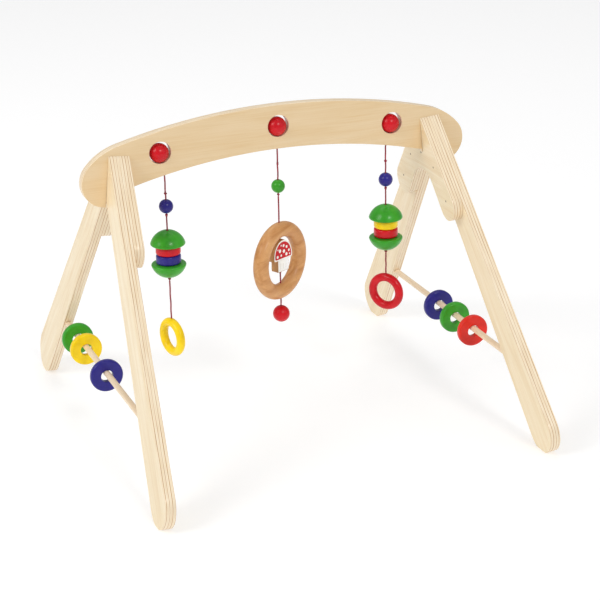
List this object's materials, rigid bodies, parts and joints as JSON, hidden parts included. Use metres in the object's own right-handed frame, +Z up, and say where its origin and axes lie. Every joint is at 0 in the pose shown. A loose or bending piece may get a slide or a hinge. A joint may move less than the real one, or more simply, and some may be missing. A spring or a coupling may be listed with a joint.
{
  "type": "activity play gym",
  "caption": "Wooden baby play gym: curved arch on two A-shaped side frames, with hanging beads, domes and rings on cords and sliding discs on side rods.",
  "frame": {"origin": "on the floor, midway between the feet and between the side frames", "axes": "+Z up, X along the arch from one side frame to the other, -Y towards the front legs"},
  "size_m": [0.6, 0.6496, 0.4699],
  "materials": {
    "birch": "clear satin lacquer on birch plywood",
    "birch_rod": "clear satin lacquer on a birch rod",
    "beech": "oiled beech",
    "red_lacquer": "glossy red lacquer on wood",
    "orange_red_lacquer": "glossy orange-red lacquer on wood",
    "blue_lacquer": "glossy blue lacquer on wood",
    "green_lacquer": "glossy green lacquer on wood",
    "yellow_lacquer": "glossy yellow lacquer on wood",
    "painted_mushroom": "painted faces with bare wood edges",
    "cord": "twisted dark red cord"
  },
  "bodies": {
    "frame": {"arch": "birch", "front_leg_left": "birch", "front_leg_right": "birch", "rear_leg_left": "birch", "rear_leg_right": "birch", "joint_plate_left": "birch", "joint_plate_right": "birch", "plate_pins_left": "beech", "plate_pins_right": "beech", "ring_rod_left": "birch_rod", "ring_rod_right": "birch_rod"},
    "left_pull": {"left_pull_ball": "red_lacquer", "left_ball_cord": "cord"},
    "left_hanger": {"left_hanger_cord": "cord"},
    "left_bead": {"left_bead": "blue_lacquer"},
    "left_string": {"left_string": "cord"},
    "left_lower_dome": {"left_lower_dome": "green_lacquer"},
    "left_lower_disc": {"left_lower_disc": "blue_lacquer"},
    "left_upper_disc": {"left_upper_disc": "red_lacquer"},
    "left_upper_dome": {"left_upper_dome": "green_lacquer"},
    "left_tail": {"left_tail_cord": "cord"},
    "left_ring": {"left_ring": "yellow_lacquer"},
    "centre_pull": {"centre_pull_ball": "red_lacquer", "centre_ball_cord": "cord"},
    "centre_hanger": {"centre_hanger_cord": "cord"},
    "centre_bead": {"centre_bead": "green_lacquer"},
    "centre_string": {"centre_string": "cord"},
    "centre_tail": {"centre_tail_cord": "cord", "end_ball": "red_lacquer"},
    "right_pull": {"right_pull_ball": "red_lacquer", "right_ball_cord": "cord"},
    "right_hanger": {"right_hanger_cord": "cord"},
    "right_bead": {"right_bead": "blue_lacquer"},
    "right_string": {"right_string": "cord"},
    "right_lower_dome": {"right_lower_dome": "green_lacquer"},
    "right_lower_disc": {"right_lower_disc": "red_lacquer"},
    "right_upper_disc": {"right_upper_disc": "yellow_lacquer"},
    "right_upper_dome": {"right_upper_dome": "green_lacquer"},
    "right_tail": {"right_tail_cord": "cord"},
    "right_ring": {"right_ring": "red_lacquer"},
    "beech_ring": {"beech_ring": "beech"},
    "mushroom": {"mushroom": "painted_mushroom"},
    "rod_disc_green_left": {"rod_disc_green_left": "green_lacquer"},
    "rod_disc_yellow_left": {"rod_disc_yellow_left": "yellow_lacquer"},
    "rod_disc_blue_left": {"rod_disc_blue_left": "blue_lacquer"},
    "rod_disc_blue_right": {"rod_disc_blue_right": "blue_lacquer"},
    "rod_disc_green_right": {"rod_disc_green_right": "green_lacquer"},
    "rod_disc_red_right": {"rod_disc_red_right": "orange_red_lacquer"}
  },
  "joints": [
    {"name": "left_pull_lift", "type": "slide", "parent": "frame", "child": "left_pull", "axis": [-0.1908, 0, 0.9816], "range_m": [0, 0.003]},
    {"name": "left_swing", "type": "hinge", "parent": "left_pull", "child": "left_hanger", "pos_m": [-0.17, 0, 0.3844], "axis": [1, 0, 0], "range_deg": [-35, 35]},
    {"name": "left_bead_slide", "type": "slide", "parent": "left_hanger", "child": "left_bead", "axis": [0, 0, 1], "range_m": [0, 0.005]},
    {"name": "left_sway", "type": "hinge", "parent": "left_hanger", "child": "left_string", "pos_m": [-0.17, 0, 0.3277], "axis": [0, 1, 0], "range_deg": [-12, 12]},
    {"name": "left_stack_slide", "type": "slide", "parent": "left_string", "child": "left_lower_dome", "axis": [0, 0, 1], "range_m": [0, 0.014]},
    {"name": "left_lower_disc_spin", "type": "hinge", "parent": "left_lower_dome", "child": "left_lower_disc", "pos_m": [-0.17, 0, 0.2616], "axis": [0, 0, 1], "continuous": true},
    {"name": "left_upper_disc_spin", "type": "hinge", "parent": "left_lower_disc", "child": "left_upper_disc", "pos_m": [-0.17, 0, 0.2766], "axis": [0, 0, 1], "continuous": true},
    {"name": "left_upper_dome_slide", "type": "slide", "parent": "left_upper_disc", "child": "left_upper_dome", "axis": [0, 0, 1], "range_m": [0, 0.004]},
    {"name": "left_tail_swing", "type": "hinge", "parent": "left_string", "child": "left_tail", "pos_m": [-0.17, 0, 0.2316], "axis": [1, 0, 0], "range_deg": [-25, 25]},
    {"name": "left_ring_spin", "type": "hinge", "parent": "left_tail", "child": "left_ring", "pos_m": [-0.17, 0, 0.17], "axis": [0, 0, 1], "continuous": true},
    {"name": "centre_pull_lift", "type": "slide", "parent": "frame", "child": "centre_pull", "axis": [0, 0, 1], "range_m": [0, 0.003]},
    {"name": "centre_swing", "type": "hinge", "parent": "centre_pull", "child": "centre_hanger", "pos_m": [0, 0, 0.401], "axis": [1, 0, 0], "range_deg": [-35, 35]},
    {"name": "centre_bead_slide", "type": "slide", "parent": "centre_hanger", "child": "centre_bead", "axis": [0, 0, 1], "range_m": [0, 0.02]},
    {"name": "centre_sway", "type": "hinge", "parent": "centre_hanger", "child": "centre_string", "pos_m": [0, 0, 0.3349], "axis": [0, 1, 0], "range_deg": [-12, 12]},
    {"name": "centre_tail_swing", "type": "hinge", "parent": "centre_string", "child": "centre_tail", "pos_m": [0, 0, 0.1756], "axis": [1, 0, 0], "range_deg": [-20, 20]},
    {"name": "right_pull_lift", "type": "slide", "parent": "frame", "child": "right_pull", "axis": [0.1908, 0, 0.9816], "range_m": [0, 0.003]},
    {"name": "right_swing", "type": "hinge", "parent": "right_pull", "child": "right_hanger", "pos_m": [0.17, 0, 0.3844], "axis": [1, 0, 0], "range_deg": [-35, 35]},
    {"name": "right_bead_slide", "type": "slide", "parent": "right_hanger", "child": "right_bead", "axis": [0, 0, 1], "range_m": [0, 0.0145]},
    {"name": "right_sway", "type": "hinge", "parent": "right_hanger", "child": "right_string", "pos_m": [0.17, 0, 0.3215], "axis": [0, 1, 0], "range_deg": [-12, 12]},
    {"name": "right_stack_slide", "type": "slide", "parent": "right_string", "child": "right_lower_dome", "axis": [0, 0, 1], "range_m": [0, 0.016]},
    {"name": "right_lower_disc_spin", "type": "hinge", "parent": "right_lower_dome", "child": "right_lower_disc", "pos_m": [0.17, 0, 0.2526], "axis": [0, 0, 1], "continuous": true},
    {"name": "right_upper_disc_spin", "type": "hinge", "parent": "right_lower_disc", "child": "right_upper_disc", "pos_m": [0.17, 0, 0.2676], "axis": [0, 0, 1], "continuous": true},
    {"name": "right_upper_dome_slide", "type": "slide", "parent": "right_upper_disc", "child": "right_upper_dome", "axis": [0, 0, 1], "range_m": [0, 0.004]},
    {"name": "right_tail_swing", "type": "hinge", "parent": "right_string", "child": "right_tail", "pos_m": [0.17, 0, 0.2226], "axis": [1, 0, 0], "range_deg": [-25, 25]},
    {"name": "right_ring_spin", "type": "hinge", "parent": "right_tail", "child": "right_ring", "pos_m": [0.17, 0, 0.17], "axis": [0, 0, 1], "continuous": true},
    {"name": "beech_ring_spin", "type": "hinge", "parent": "centre_string", "child": "beech_ring", "pos_m": [0, 0, 0.234], "axis": [0, 0, 1], "continuous": true},
    {"name": "mushroom_spin", "type": "hinge", "parent": "centre_string", "child": "mushroom", "pos_m": [0, 0, 0.234], "axis": [0, 0, 1], "continuous": true},
    {"name": "rod_disc_green_left_slide", "type": "slide", "parent": "frame", "child": "rod_disc_green_left", "axis": [0, 1, 0], "range_m": [-0.0345, 0.034]},
    {"name": "rod_disc_yellow_left_slide", "type": "slide", "parent": "frame", "child": "rod_disc_yellow_left", "axis": [0, 1, 0], "range_m": [-0.0965, 0.0345]},
    {"name": "rod_disc_blue_left_slide", "type": "slide", "parent": "frame", "child": "rod_disc_blue_left", "axis": [0, 1, 0], "range_m": [-0.156, 0.0965]},
    {"name": "rod_disc_blue_right_slide", "type": "slide", "parent": "frame", "child": "rod_disc_blue_right", "axis": [0, 1, 0], "range_m": [-0.045, 0.1345]},
    {"name": "rod_disc_green_right_slide", "type": "slide", "parent": "frame", "child": "rod_disc_green_right", "axis": [0, 1, 0], "range_m": [-0.0485, 0.045]},
    {"name": "rod_disc_red_right_slide", "type": "slide", "parent": "frame", "child": "rod_disc_red_right", "axis": [0, 1, 0], "range_m": [-0.0925, 0.0485]}
  ]
}
